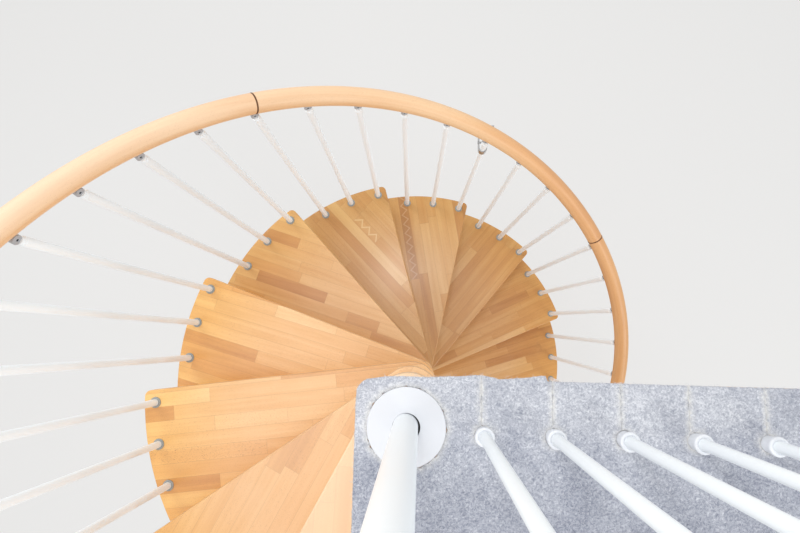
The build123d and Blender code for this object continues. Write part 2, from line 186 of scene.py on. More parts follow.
def lathe(corners, segments=32, closed=False, slot=0, steps=4, unit=MM):
    """Solid of revolution about Z, from corners of (radius, height, rounding) that go up on the outside."""
    profile = rounded([(x * unit, y * unit, radius * unit) for x, y, radius in corners], closed, steps)
    shape = Shape()
    rows = []
    for radius, height in profile:
        first = len(shape.verts)
        if radius < 1e-7:
            rows.append([first])
            shape.verts.append(Vector((0, 0, height)))
        else:
            rows.append(list(range(first, first + segments)))
            shape.verts += [polar(radius, angle, height) for angle in compass(segments)]
    pairs = list(zip(rows, rows[1:])) + ([(rows[-1], rows[0])] if closed else [])
    for low, high in pairs:
        if len(low) == 1 and len(high) == 1:
            continue
        for i in range(segments):
            j = (i + 1) % segments
            if len(low) == 1:
                shape.faces.append([low[0], high[j], high[i]])
            else:
                shape.faces.append([low[i], low[j]] + ([high[j], high[i]] if len(high) > 1 else high))
    shape.slots = [slot] * len(shape.faces)
    return shape


def bar(radius, low, high, edge, segments):
    """Plain round bar with rounded rims, its sizes in metres."""
    corners = [(0, low, 0), (radius, low, edge), (radius, high, edge), (0, high, 0)]
    return lathe(corners, segments, steps=3, unit=1)


# Material helpers

class Value:
    """What a node gives, with signs for sums, differences and products."""

    def __init__(self, look, socket):
        self.look = look
        self.socket = socket

    def __add__(self, other):
        return self.look.math("ADD", self, other)

    def __sub__(self, other):
        return self.look.math("SUBTRACT", self, other)

    def __rsub__(self, other):
        return self.look.math("SUBTRACT", other, self)

    def __mul__(self, other):
        return self.look.math("MULTIPLY", self, other)


class Look:
    """Nodes of a new material round one Principled shader, or of a new world."""

    def __init__(self, name, kind="materials"):
        self.owner = getattr(bpy.data, kind).new(name)
        self.owner.use_nodes = True
        self.nodes = self.owner.node_tree.nodes

    def put(self, socket, value):
        if isinstance(value, Value):
            self.owner.node_tree.links.new(value.socket, socket)
        else:
            socket.default_value = value

    def set(self, node="Principled BSDF", **values):
        """Inputs of a node that a new material or world has, by their names."""
        for key, value in values.items():
            self.put(self.nodes[node].inputs[key.replace("_", " ")], value)

    def node(self, kind, inputs=(), output=0, **settings):
        """Output of a new node, by its number or name."""
        node = self.nodes.new("ShaderNode" + kind)
        for key, value in settings.items():
            setattr(node, key, value)
        for key, value in dict(inputs).items():
            self.put(node.inputs[key], value)
        return Value(self, node.outputs[output])

    def math(self, operation, a, b=0.0, clamp=False):
        return self.node("Math", {0: a, 1: b}, operation=operation, use_clamp=clamp)

    def mix(self, factor, a, b, blend="MIX"):
        inputs = {0: factor, 6: a, 7: b}
        return self.node("Mix", inputs, 2, data_type="RGBA", blend_type=blend, clamp_factor=True)

    def scaled(self, vector, scale):
        return self.node("VectorMath", {0: vector, 1: scale}, operation="MULTIPLY")

    def parts(self, vector, *axes):
        return [self.node("SeparateXYZ", {0: vector}, axis) for axis in axes]

    def noise(self, vector, scale, detail=2.0, rough=0.5, distortion=0.0, output="Fac"):
        inputs = {"Vector": vector, "Scale": scale, "Detail": detail, "Roughness": rough}
        return self.node("TexNoise", {**inputs, "Distortion": distortion}, output)

    def stretched(self, vector, scale, *settings):
        return self.noise(self.scaled(vector, scale), 1.0, *settings)

    def span(self, value, low, high, to_low=0.0, to_high=1.0, smooth=False):
        return self.node("MapRange", {0: value, 1: low, 2: high, 3: to_low, 4: to_high},
                         interpolation_type="SMOOTHSTEP" if smooth else "LINEAR")

    def ramp(self, value, *stops):
        result = self.node("ValToRGB", {0: value})
        elements = result.socket.node.color_ramp.elements
        while len(elements) < len(stops):
            elements.new(0.5)
        for element, (place, *colour) in zip(elements, stops):
            element.position = place
            element.color = srgb(*colour)
        return result

    def attribute(self, name, output="Vector"):
        return self.node("Attribute", (), output, attribute_name=name)

    def place(self):
        return self.node("TexCoord", (), "Object")

    def bump(self, height, strength, distance):
        self.set(Normal=self.node("Bump", {"Height": height, "Strength": strength, "Distance": distance}))

    def seen(self):
        """One for rays that show things, from the camera, off a gloss or through glass, and else nothing."""
        kinds = ("Is Camera Ray", "Is Glossy Ray", "Is Transmission Ray")
        camera, mirror, glass = [self.node("LightPath", (), kind) for kind in kinds]
        return self.math("MAXIMUM", self.math("MAXIMUM", camera, mirror), glass)


STAVE_WIDTH = 41.5 * MM
STAVE_LENGTHS = (0.22, 0.3, 0.36, 0.44, 0.52)
STAVE_CONTRAST = 1.25
STAVE_TONE = 0.6
DARK_SHARE = 0.07
JOINT_CLEAR = 0.06
BEECH_RED = srgb(158, 92, 54)
NO_TINT = (1, 1, 1, 1)
ZIGZAG_PERIOD = 44 * MM
ZIGZAG_SWING = 25 * MM


def beech_grain(look, grain, tone):
    """Tone, height and ray mask of beech: streaks, arched growth rings, fibres and the short dark rays."""
    streak = look.stretched(grain, (1.6, 42, 42), 3.0, 0.55)
    wander = look.stretched(grain, (4, 20, 20), 2.0)
    field = look.stretched(grain, (1.5, 15, 15), 1.0, 0.4, 0.2)
    arches = look.math("PINGPONG", field * 9.0, 0.5)
    lines = look.stretched(grain, (3.2, 210, 210), 3.0, 0.6, 0.35)
    fibre = look.stretched(grain, (26, 1500, 1500), 2.0, 0.6)
    ray = look.stretched(grain, (230, 1100, 1100), 1.0, 0.5)
    value = tone + (streak - 0.5) * 0.50 + (arches - 0.25) * 0.10
    value = value + (lines - 0.5) * 0.17 + (wander - 0.5) * 0.24
    value = look.math("ADD", value, (fibre - 0.5) * 0.18, clamp=True)
    return value, fibre * 0.6, look.span(ray, 0.62, 0.72, smooth=True)


def tread_beech():
    look = Look("tread_beech")
    to_start, to_end, across = look.parts(look.attribute("joints"), 0, 1, 2)
    zigzag_stave, mark_stave, speckled = look.parts(look.attribute("figure"), 0, 1, 2)
    value, height, rays = beech_grain(look, look.attribute("grain"), look.attribute("tone", "Fac"))
    colour = look.ramp(value, (0.0, 190, 124, 70), (0.5, 226, 168, 104), (1.0, 249, 206, 150))
    colour = look.mix(rays * (speckled * 0.55 + 0.38), colour, BEECH_RED)

    # Pale zigzag line along the middle of one reddish stave, and a broader stretch of it in another
    colour = look.mix(zigzag_stave * 0.22, colour, srgb(160, 102, 66))
    swing = look.math("PINGPONG", to_start, ZIGZAG_PERIOD / 2)
    line = swing * (2 * ZIGZAG_SWING / ZIGZAG_PERIOD) + (STAVE_WIDTH / 2 - ZIGZAG_SWING / 2)
    away = look.math("ABSOLUTE", across - line)
    zigzag = look.span(away, 2.0 * MM, 5.4 * MM, 1.0, 0.0, smooth=True) * zigzag_stave
    colour = look.mix(zigzag * 0.8, colour, srgb(228, 186, 148))
    mark = look.span(away, 2.0 * MM, 5.0 * MM, 1.0, 0.0, smooth=True) * mark_stave
    colour = look.mix(mark * 0.75, colour, srgb(255, 224, 180))

    # Thin glue lines between the staves
    side = look.math("MINIMUM", across, STAVE_WIDTH - across)
    end = look.math("MINIMUM", to_start, to_end)
    glue = look.span(look.math("MINIMUM", side, end), 0.2 * MM, 0.9 * MM, 1.0, 0.0, smooth=True)
    colour = look.mix(glue * 0.32, colour, srgb(150, 92, 48))

    # Painted sheen: paler towards the hub by each tread's share, with random wear; painted shade: warmer at
    # the rim
    place = look.place()
    out = look.node("VectorMath", {0: look.scaled(place, (1, 1, 0))}, 1, operation="LENGTH")
    wear = look.noise(place, 7.0, 4.0, 0.62)
    inner = look.span(out, 0.80, 0.42, 0.25, 1.0, smooth=True)
    # Painted sheen towards the hub by each tread's share, plus random paler wear patches
    sheen_and_wear = look.attribute("painted_sheen", "Fac") * inner + look.span(wear, 0.52, 0.78, 0.0, 0.08)
    colour = look.mix(sheen_and_wear, colour, srgb(255, 228, 196))
    # Painted shade: the rim darker and warmer, where less light falls
    painted_rim_shade = look.mix(look.span(out, 0.45, 0.80, 0.0, 0.9, smooth=True), NO_TINT, (1.0, 0.92, 0.58, 1))
    colour = look.mix(1.0, colour, painted_rim_shade, "MULTIPLY")
    # Painted light and shade: each tread's own brightness, darker lower down where less light reaches
    colour = look.scaled(colour, look.attribute("level", "Color"))
    rough = look.span(wear, 0.3, 0.75, 0.34, 0.46) + height * 0.06
    look.set(Base_Color=colour, Roughness=rough, Coat_Weight=0.35, Coat_Roughness=0.2)
    look.bump(height - glue * 1.2, 0.2, 0.4 * MM)
    return look.owner


def rail_beech():
    look = Look("rail_beech")
    grain = look.attribute("grain")
    tone = look.span(look.stretched(grain, (1.4, 6, 6)), 0.3, 0.7, 0.42, 0.78)
    value, height, rays = beech_grain(look, look.scaled(grain, (1.0, 1.35, 1.35)), tone)
    colour = look.ramp(value, (0.0, 194, 132, 86), (0.5, 231, 181, 130), (1.0, 250, 218, 178))
    colour = look.mix(rays * 0.3, colour, BEECH_RED)

    # Painted highlight: paler on the top side towards the top of the stair; painted shade: darker at its
    # foot
    place = look.place()
    level, = look.parts(place, 2)
    upward, = look.parts(grain, 2)
    painted_highlight = look.span(level, 2.5, 3.4, 0.0, 0.44, smooth=True)
    lit_top_side = look.span(upward, 0.0, 0.022, 0.15, 1.0)
    colour = look.mix(painted_highlight * lit_top_side, colour, srgb(250, 236, 218))
    # Painted shade: darker and warmer towards the foot of the stair
    deep = look.mix(look.span(level, 2.05, 2.8, 1.0, 0.0), NO_TINT, (0.80, 0.70, 0.54, 1))
    colour = look.mix(1.0, colour, deep, "MULTIPLY")
    rough = look.span(look.noise(place, 16.0, 3.0, 0.6), 0.3, 0.75, 0.40, 0.50)
    look.set(Base_Color=colour, Roughness=rough, Coat_Weight=0.1, Coat_Roughness=0.2)
    look.bump(height, 0.15, 0.3 * MM)
    return look.owner


def powder_coat(name, colour, rough=0.36):
    """Semi-gloss powder coat with a slight orange peel and faint grime."""
    look = Look(name)
    place = look.place()
    grime = look.noise(place, 11.0, 4.0, 0.6)
    tint = look.mix(look.span(grime, 0.5, 0.85, 0.0, 0.12), colour, srgb(232, 230, 224))
    look.set(Base_Color=tint, Roughness=look.span(grime, 0.3, 0.8, rough - 0.04, rough + 0.10))
    look.bump(look.noise(place, 150.0, 1.0, 0.5), 0.05, 0.2 * MM)
    return look.owner


def moulded(name, colour, rough):
    """Fine-grained moulded plastic."""
    look = Look(name)
    place = look.place()
    cloud = look.noise(place, 24.0, 3.0, 0.6)
    darker = (*(value * 0.78 for value in colour[:3]), 1.0)
    look.set(Base_Color=look.mix(look.span(cloud, 0.3, 0.75), colour, darker),
             Roughness=look.span(cloud, 0.3, 0.7, rough - 0.06, rough + 0.08))
    look.bump(look.noise(place, 420.0, 2.0, 0.6), 0.12, 0.2 * MM)
    return look.owner


def bare_metal(name, colour, rough):
    """Zinc-plated steel with fine drawing lines."""
    look = Look(name)
    place = look.place()
    lines = look.stretched(place, (30, 30, 600), 3.0, 0.6)
    cloud = look.noise(place, 19.0, 4.0, 0.6)
    darker = (colour[0] * 0.7, colour[1] * 0.7, colour[2] * 0.72, 1.0)
    look.set(Base_Color=look.mix(look.span(cloud, 0.35, 0.8), colour, darker), Metallic=1.0,
             Roughness=look.span(cloud, 0.3, 0.7, rough - 0.05, rough + 0.12) + lines * 0.08)
    look.bump(lines, 0.08, 0.2 * MM)
    return look.owner


def needle_felt():
    """Pale and dark fibres pressed together, lighter where the felt is cut."""
    look = Look("grey_felt")
    place = look.place()
    warp = look.noise(place, 60.0, output="Color")
    bent = look.node("VectorMath", {0: place, 1: look.scaled(warp, (0.012, 0.012, 0.012))}, operation="ADD")
    tufts = look.noise(bent, 270.0, 4.0, 0.68, 0.6)
    fibres = look.math("MAXIMUM", *(look.noise(look.scaled(bent, scale), 640.0, 2.0, 0.6, 1.2)
                                    for scale in ((1, 3.2, 1), (3.2, 1, 1))))
    cloud = look.noise(place, 9.0, 3.0, 0.55)
    patches = look.noise(place, 75.0, 3.0, 0.6)
    value = tufts * 0.62 + fibres * 0.38 + (cloud - 0.5) * 0.20 + (patches - 0.5) * 0.16

    # Painted light: paler along the edge over the well, less so towards the right
    x, y = look.parts(place, 0, 1)
    ragged = y + (cloud - 0.5) * 0.10
    painted_edge_light = look.span(ragged, -0.10, 0.06, 0.0, 0.31, smooth=True) * look.span(x, 0.0, 0.7, 1.0, 0.62)
    colour = look.ramp((look.span(value, 0.36, 0.70) + painted_edge_light) * 0.714,
                       (0.0, 106, 111, 126), (0.30, 156, 160, 173), (0.51, 186, 189, 198),
                       (0.71, 218, 220, 226), (1.0, 236, 237, 241))
    frayed = look.attribute("cut", "Fac") * look.span(patches, 0.3, 0.55, 0.5, 1.0)
    colour = look.mix(frayed * 0.85, colour, srgb(238, 236, 229))
    look.set(Base_Color=colour, Roughness=0.95, Specular_IOR_Level=0.12)
    look.set(Sheen_Weight=0.25, Sheen_Roughness=0.6)
    look.bump(tufts * 0.7 + fibres * 0.5, 0.75, 1.6 * MM)
    return look.owner


WHITE = powder_coat("white_coat", srgb(246, 251, 254))
# A darker copy of the white coat for the disc: painted shade, as its upward face takes more light
DISC_WHITE_SHADED = powder_coat("disc_coat_painted_shade", srgb(215, 217, 222), 0.55)
GREY_METAL = powder_coat("grey_coat", srgb(172, 174, 178), 0.38)
# Near-black, painted shade for the ring under the disc
PAINTED_SHADE_BLACK = moulded("painted_shade_black", srgb(34, 33, 33), 0.6)
# Darker grey in the screw sockets of the joints: painted shade in the hollow
SOCKET_SHADE = moulded("socket_painted_shade", srgb(92, 94, 98), 0.6)

# The look of each of the record's material slots
LOOKS = {
    "white_steel": WHITE,
    "bare_steel": bare_metal("bare_steel", srgb(196, 198, 200), 0.28),
    "white_plastic": moulded("white_plastic", srgb(232, 235, 240), 0.5),
    "grey_plastic": moulded("grey_plastic", srgb(158, 162, 160), 0.5),
    "grey_metal": GREY_METAL,
    "dark_plastic": moulded("dark_plastic", srgb(112, 72, 44), 0.6),
    "tread_beech": tread_beech(),
    "rail_beech": rail_beech(),
    "grey_felt": needle_felt(),
}
for subpart in frame["record"]["subparts"]:
    node = frame["nodes"][subpart["node"]]
    node.data.materials.clear()
    node.data.materials.append(LOOKS[subpart["material_slot"]])


def settle(piece, slot, *nodes):
    """A finished piece rides with the stair and stands for some solids, which it hides; its slot is not
    used.
    """
    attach(piece, "root")
    if nodes:
        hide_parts(*nodes)


def finish(shape, name, slot, *nodes, looks=None, crease=35.0):
    """Settles a shape as a piece, in its slot's look where no others are given."""
    settle(shape.object(name, looks or [LOOKS[slot]], crease), slot, *nodes)


# Boards

def inset(outline, distance):
    """Convex outline moved inward by one distance, point by point."""
    result = []
    for index, here in enumerate(outline):
        before = (here - outline[index - 1]).normalized()
        after = (outline[(index + 1) % len(outline)] - here).normalized()
        inward = Vector((-(before + after).y, (before + after).x)).normalized()
        lean = max(0.5, inward.dot(Vector((-after.y, after.x))))
        result.append(here + inward * distance / lean)
    return result


def stave_rows(chance, outline, lay, first, tone_shift, choices):
    """Rows of staves across a board: lower side, joints along the grain, tone and figure of each stave.

    The lay is the staves' origin and their directions along and across the grain. A row starts at the
    distance called first.
    """
    origin, along, across = lay
    lengths = [(point - origin).dot(along) for point in outline]
    sides = [(point - origin).dot(across) for point in outline]
    start = first - ceil((first - min(sides)) / STAVE_WIDTH) * STAVE_WIDTH
    rows = []
    while start < max(sides):
        joints = [min(lengths) - 0.01 - chance.uniform(0.0, 0.3)]
        while joints[-1] < max(lengths):
            length = chance.choice(STAVE_LENGTHS)
            joints.append(joints[-1] + length + chance.uniform(-0.03, 0.03))
        marks = {}
        for place, begin, end, tone, *figure in choices:
            if start <= place < start + STAVE_WIDTH:
                free = [j for j in joints if j < begin - JOINT_CLEAR or j > end + JOINT_CLEAR]
                joints = sorted(free + [begin, end])
                marks[begin] = (tone, figure[0] if figure else PLAIN)
        staves = []
        for begin, end in zip(joints, joints[1:]):
            tone = chance.gauss(STAVE_TONE, 0.08)
            if chance.random() < DARK_SHARE:
                tone = chance.uniform(0.34, 0.44)
            figure = (0.0, 0.0, max(0.0, chance.gauss(0.1, 0.25)))
            if begin in marks:
                tone, figure = marks[begin]
            tone = STAVE_TONE + (tone - STAVE_TONE) * STAVE_CONTRAST + tone_shift
            staves.append((begin, end, tone, figure))
        rows.append((start, staves))
        start += STAVE_WIDTH
    return rows


def board(name, node, outline, low, high, lay, rows, seed, painted_sheen, level):
    """Stave-glued board with rounded edges; each stave has its own run of grain."""
    origin, along, across = lay
    mesh = bmesh.new()
    quarter = [pi / 2 * step / 4 for step in range(5)]
    levels = [(1 - sin(angle), low + EDGE_ROUND * (1 - cos(angle))) for angle in quarter]
    levels += [(1 - cos(angle), high - EDGE_ROUND * (1 - sin(angle))) for angle in quarter]
    rings = []
    for share, height in levels:
        distance = EDGE_ROUND * share
        points = inset(outline, distance) if distance > 1e-9 else outline
        rings.append([mesh.verts.new((point.x, point.y, height)) for point in points])
    for lower, upper in zip(rings, rings[1:]):
        for i in range(len(outline)):
            j = (i + 1) % len(outline)
            mesh.faces.new((lower[i], lower[j], upper[j], upper[i]))
    mesh.faces.new(list(reversed(rings[0])))
    mesh.faces.new(rings[-1])

    def cut(faces, place, direction):
        parts = set(faces)
        for face in faces:
            parts.update(face.edges)
            parts.update(face.verts)
        bmesh.ops.bisect_plane(mesh, geom=list(parts), dist=1e-6, plane_co=place.to_3d(),
                               plane_no=direction.to_3d())

    def row_of(face):
        side = (face.calc_center_median().xy - origin).dot(across)
        return max(0, min(len(rows) - 1, int((side - rows[0][0]) // STAVE_WIDTH)))

    for start, staves in rows[1:]:
        cut(list(mesh.faces), origin + across * start, across)
    for index, (start, staves) in enumerate(rows):
        for stave in staves[1:]:
            cut([face for face in mesh.faces if row_of(face) == index], origin + along * stave[0], along)

    # The row and stave of each face, and each stave's own place in the grain
    found = []
    for face in mesh.faces:
        row = row_of(face)
        middle = (face.calc_center_median().xy - origin).dot(along)
        found.append((row, max(0, sum(1 for stave in rows[row][1] if stave[0] <= middle) - 1)))
    chance = random.Random(seed)
    shifts = [[[chance.uniform(0, 9) for axis in range(3)] for stave in staves] for start, staves in rows]
    data = bpy.data.meshes.new(name)
    mesh.normal_update()
    mesh.to_mesh(data)
    mesh.free()
    # Each board also carries painted light: a share of painted sheen and a painted brightness
    values = {"grain": [], "joints": [], "tone": [], "figure": [], "painted_sheen": [], "level": []}
    for polygon, (row, number) in zip(data.polygons, found):
        start, staves = rows[row]
        begin, end, tone, figure = staves[number]
        shift = shifts[row][number]
        for index in polygon.vertices:
            point = data.vertices[index].co
            u = (point.xy - origin).dot(along)
            v = (point.xy - origin).dot(across)
            values["grain"] += [u + shift[0], v - start + shift[1], point.z - low + shift[2]]
            values["joints"] += [u - begin, end - u, v - start]
            values["figure"] += figure
            for title, value in (("tone", tone), ("painted_sheen", painted_sheen), ("level", level)):
                values[title].append(value)
    for title, numbers in values.items():
        single = title in ("tone", "painted_sheen", "level")
        kind, field = ("FLOAT", "value") if single else ("FLOAT_VECTOR", "vector")
        data.attributes.new(title, kind, "CORNER").data.foreach_set(field, numbers)

    # Flat faces keep their flat look up to the rounded edge
    data.shade_smooth()
    normals = [Vector() for vertex in data.vertices]
    flat = {}
    for polygon in data.polygons:
        for index in polygon.vertices:
            if abs(polygon.normal.z) > 0.9999:
                flat[index] = Vector((0, 0, copysign(1, polygon.normal.z)))
            normals[index] += polygon.normal * polygon.area
    normals = [flat.get(index, normal.normalized()) for index, normal in enumerate(normals)]
    data.normals_split_custom_set_from_vertices(normals)
    data.materials.append(LOOKS["tread_beech"])
    settle(link(name, data), "tread_beech", node)


# Half the angle between a tread's straight edges, and the steps in its outline
EDGE_LEAN = TURN / 2 - asin((HUB - EDGE_MARGIN) / CIRCLE)
EDGE_STEPS, CORNER_STEPS, RIM_STEPS, HUB_STEPS = 10, 8, 28, 40


def tread_outline(middle):
    """Plan of one tread about the column's axis, counterclockwise from the front edge's inner end."""
    offset = HUB - CORNER
    centre_along = sqrt((TREAD_RADIUS - CORNER) ** 2 - offset ** 2)
    sides = []
    for sign in (-1, 1):
        edge = polar(1, middle + sign * EDGE_LEAN).xy
        outward = Vector((-edge.y, edge.x)) * sign

        # The rounded outer corner touches the straight edge and the rim
        centre = edge * centre_along + outward * offset
        first = atan2(outward.y, outward.x)
        last = atan2(centre.y, centre.x)
        sweep = (last - first + pi) % tau - pi
        turns = [first + sweep * t / CORNER_STEPS for t in range(CORNER_STEPS + 1)]
        arc = [centre + polar(1, angle).xy * CORNER for angle in turns]
        line = [edge * (centre_along * t / EDGE_STEPS) + outward * HUB for t in range(EDGE_STEPS)]
        sides.append((line, arc, last))
    (front_edge, front_arc, rim_start), (back_edge, back_arc, rim_end) = sides
    span = (rim_end - rim_start) % tau
    rim = [polar(TREAD_RADIUS, rim_start + span * t / RIM_STEPS).xy for t in range(1, RIM_STEPS)]
    hub_start = middle + EDGE_LEAN + pi / 2
    round_hub = (middle - EDGE_LEAN - pi / 2 - hub_start) % tau
    hub = [polar(HUB, hub_start + round_hub * t / HUB_STEPS).xy for t in range(1, HUB_STEPS)]
    return front_edge + front_arc + rim + back_arc[::-1] + back_edge[::-1] + hub


# The figures of a stave: zigzag line, stretch of a zigzag, and share of dark speckles
PLAIN, SPECKLED, ZIGZAG, MARK = (0.0, 0.0, 0.1), (0.0, 0.0, 1.0), (1.0, 0.0, 0.0), (0.0, 1.0, 0.0)

# Staves read from the photograph: distance across, start, end, tone, and figure unless plain
STAVE_CHOICES = {
    12: [(0.031, 0.600, 0.90, 0.80), (0.031, 0.22, 0.60, 0.64), (0.073, 0.711, 0.90, 0.34),
         (0.073, 0.20, 0.711, 0.66), (0.115, 0.372, 0.590, 0.76, SPECKLED), (0.115, 0.59, 0.90, 0.70),
         (0.157, 0.30, 0.90, 0.68), (0.199, 0.44, 0.90, 0.62, SPECKLED), (0.241, 0.36, 0.90, 0.56),
         (0.283, 0.585, 0.90, 0.36)],
    11: [(0.148, 0.5375, 0.95, 0.34), (0.148, 0.15, 0.5375, 0.66), (0.190, 0.42, 0.95, 0.46),
         (0.106, 0.30, 0.95, 0.70), (0.064, 0.25, 0.95, 0.66)],
    10: [(0.243, 0.400, 0.682, 0.30), (0.285, 0.52, 0.95, 0.50), (0.201, 0.30, 0.76, 0.60)],
    9: [(0.340, 0.50, 0.634, 0.62, MARK), (0.256, 0.20, 0.9, 0.46)],
    8: [(0.138, 0.40, 0.95, 0.44, ZIGZAG), (0.095, 0.30, 0.95, 0.60), (0.18, 0.42, 0.95, 0.66)],
}

# Treads from the lowest to the highest: the side that the staves follow, with 1 for the back and -1 for the
# front, their turn from it in degrees, the distance of one joint between rows from it, and the tone,
# painted sheen and painted brightness (light and shade); the treads that the photograph shows well are set
# by it
TREAD_LAY = [
    (-1, 0, 0.027, 0.0, 0.0, 0.92), (1, 0, 0.016, -0.02, 0.0, 0.92), (-1, 3, 0.033, 0.0, 0.0, 0.92),
    (-1, 0, 0.008, -0.03, 0.0, 0.92), (1, 0, 0.024, -0.02, 0.0, 0.86), (-1, 2, 0.012, -0.06, 0.02, 0.83),
    (-1, 0, 0.030, -0.04, 0.05, 0.79), (1, 0, 0.118, 0.02, 0.04, 0.76), (1, 7, 0.2765, 0.0, 0.0, 0.71),
    (1, 8, 0.2635, 0.02, 0.06, 0.83), (-1, 4.5, 0.1275, 0.06, 0.07, 0.97),
    (-1, 0, 0.0519, 0.06, 0.12, 0.97), (1, 6, 0.020, 0.06, 0.24, 0.96), (1, 4, 0.010, 0.10, 0.60, 0.94),
]

for number, (sign, twist, first_joint, tone, painted_sheen, level) in enumerate(TREAD_LAY, 1):
    middle = FIRST + (number - 1) * TURN + TURN / 2
    edge = middle + sign * EDGE_LEAN
    along = polar(1, edge + radians(twist)).xy
    lay = (Vector((-sin(edge), cos(edge))) * sign * HUB, along, Vector((along.y, -along.x)) * sign)
    outline = tread_outline(middle)
    choices = STAVE_CHOICES.get(number, [])
    rows = stave_rows(random.Random(40 + number), outline, lay, first_joint, tone, choices)
    top = tread_tops[number - 1]
    board(f"board_{number:02d}", f"tread_{number:02d}", outline, top - THICKNESS, top, lay, rows,
          70 + number, painted_sheen, level)

# Landing panel: the same staves, along the railing
panel_edge = panel_high.y - PANEL_SETBACK
corners = [(panel_low.x, panel_low.y, PANEL_CORNER), (panel_high.x, panel_low.y, PANEL_CORNER),
           (panel_high.x, panel_edge, PANEL_CORNER), (panel_low.x, panel_edge, FRONT_CORNER)]
outline = [Vector(point) for point in rounded(corners, closed=True, steps=10)]
lay = (Vector((panel_low.x, panel_edge)), Vector((1, 0)), Vector((0, -1)))
rows = stave_rows(random.Random(99), outline, lay, 0.0, 0.0, [])
# The landing board takes a little painted sheen and its full brightness
board("landing_board", "landing_panel", outline, panel_low.z, panel_high.z, lay, rows, 98, 0.1, 1.0)

# Handrail

RAIL_STEPS, DOME_STEPS, STRAIGHT_STEPS = 64, 10, 24
RAIL_OVERHANG = 70 * MM
FIRST_RING = radians(-40.71)
RING_PITCH = radians(79.75)
CAP_LENGTH = 9 * MM
CAP_FULLNESS = 0.62
END_EASING = 0.7 * MM
RING_HALF = 1.6 * MM
RING_SLIP = 0.1 * MM


def rail_level(angle):
    return RISE + RAIL_HEIGHT + (angle - FIRST) * RISE / TURN


def rail_frame(angle):
    """Point on the handrail's centre line, with the directions outward, upward and along it."""
    outward = polar(1, angle)
    along = (polar(1, angle + pi / 2) + Vector((0, 0, SLOPE))).normalized()
    return polar(RAIL_CIRCLE, angle, rail_level(angle)), outward, along.cross(outward) * -1, along


def straight_frame(x):
    """The same for the landing's own handrail, which runs along +X."""
    centre = Vector((x, straight_line, straight_level))
    return centre, Vector((0, 1, 0)), Vector((0, 0, 1)), Vector((1, 0, 0))


def rail_piece(name, node, bars):
    """One piece of round bars, from stations of (centre, side, up, radius, distance along the grain)."""
    whole, grain = Shape(), []
    for stations in bars:
        base = len(whole.verts)
        for centre, side, up, radius, travelled in stations:
            for angle in compass(RAIL_STEPS):
                whole.verts.append(centre + (side * cos(angle) + up * sin(angle)) * radius)
                grain += [travelled, radius * cos(angle), radius * sin(angle)]
        starts = range(base, len(whole.verts), RAIL_STEPS)
        rings = [list(range(start, start + RAIL_STEPS)) for start in starts]
        for low, high in zip(rings, rings[1:]):
            for i in range(RAIL_STEPS):
                j = (i + 1) % RAIL_STEPS
                whole.faces.append([low[i], low[j], high[j], high[i]])
        whole.faces += [rings[0][::-1], rings[-1]]
    piece = whole.object(name, [LOOKS["rail_beech"]], 40)
    edit = bmesh.new()
    edit.from_mesh(piece.data)
    bmesh.ops.recalc_face_normals(edit, faces=edit.faces)
    edit.to_mesh(piece.data)
    edit.free()
    piece.data.attributes.new("grain", "FLOAT_VECTOR", "POINT").data.foreach_set("vector", grain)
    settle(piece, "rail_beech", node)


def helix_stations(start, end, shift):
    """Stations of one stretch of the helical rail, with slightly eased ends."""
    count = max(2, int((end - start) / radians(1.0)))
    length = (end - start) * RAIL_CIRCLE / NORMAL
    easing = radians(0.05)
    angles = [start, start + easing] + [start + (end - start) * i / count for i in range(1, count)]
    angles += [end - easing, end]
    stations = []
    for index, angle in enumerate(angles):
        centre, side, up, along = rail_frame(angle)
        radius = RAIL_RADIUS - (END_EASING if index in (0, len(angles) - 1) else 0)
        stations.append((centre, side, up, radius, shift + (angle - start) / (end - start) * length))
    return stations


def dome_stations(place, sign, shift):
    """Stations of a rounded cap on one end of a rail."""
    centre, side, up, along = place
    stations = [(centre, side, up, RAIL_RADIUS, shift)]
    for step in range(1, DOME_STEPS + 1):
        angle = pi / 2 * step / (DOME_STEPS + 0.4)
        distance = CAP_LENGTH * sin(angle)
        middle = centre + along * sign * distance
        radius = RAIL_RADIUS * cos(angle) ** CAP_FULLNESS
        stations.append((middle, side, up, radius, shift + distance))
    return stations


rail_start = FIRST - RAIL_OVERHANG * NORMAL / RAIL_CIRCLE
rail_end = FIRST + TREADS * TURN + RAIL_OVERHANG * NORMAL / RAIL_CIRCLE
ring_angles = [FIRST_RING]
while ring_angles[-1] + RING_PITCH < rail_end:
    ring_angles.append(ring_angles[-1] + RING_PITCH)
half_gap = (RING_HALF + RING_SLIP) * NORMAL / RAIL_CIRCLE
starts = [rail_start] + [angle + half_gap for angle in ring_angles]
ends = [angle - half_gap for angle in ring_angles] + [rail_end]
for index, (start, end) in enumerate(zip(starts, ends)):
    stations = helix_stations(start, end, 3.7 * index)
    rail_piece(f"rail_length_{index + 1}", f"handrail_section_{index + 1}", [stations])

ring = bar(RAIL_RADIUS + 0.5 * MM, -RING_HALF, RING_HALF, 0.6 * MM, 64)
rings = Shape()
for angle in ring_angles:
    centre, side, up, along = rail_frame(angle)
    axes = Matrix((side, along.cross(side), along)).transposed().to_4x4()
    rings.add(ring, Matrix.Translation(centre) @ axes)
finish(rings, "rail_joint_rings", "dark_plastic", "rail_rings")

